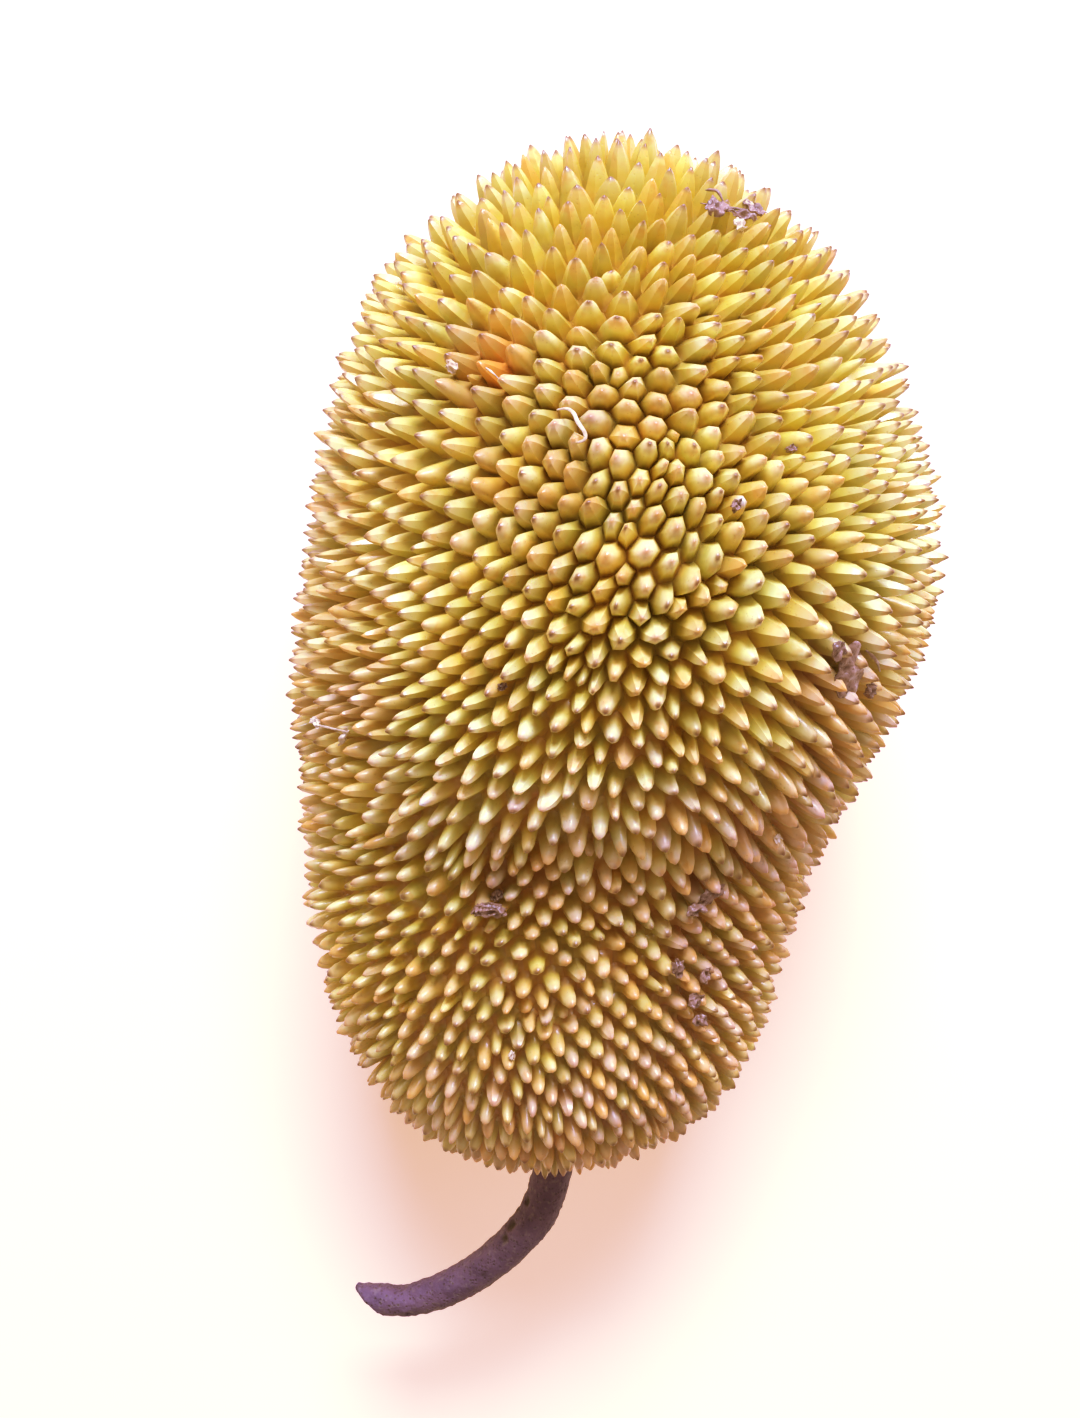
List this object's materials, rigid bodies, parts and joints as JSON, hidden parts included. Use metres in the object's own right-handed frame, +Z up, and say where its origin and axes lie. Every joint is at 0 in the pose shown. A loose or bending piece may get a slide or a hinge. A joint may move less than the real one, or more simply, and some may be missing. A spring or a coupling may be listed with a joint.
{
  "type": "cempedak",
  "caption": "Whole cempedak fruit with a blunt-thorned rind, a waist on one side and its cut stalk, lying on its side.",
  "frame": {"origin": "on the surface, under the middle of the bounding box of the fruit with its stalk", "axes": "+Y along the fruit from the stalk to the apex, +Z up, +X to the side with the waist"},
  "size_m": [0.1563, 0.302, 0.1505],
  "materials": {
    "rind": "satin plant skin, yellow-brown with brown thorn tips",
    "bark": "matte grey-brown bark"
  },
  "bodies": {
    "root": {"fruit": "rind", "stalk": "bark"}
  },
  "joints": []
}
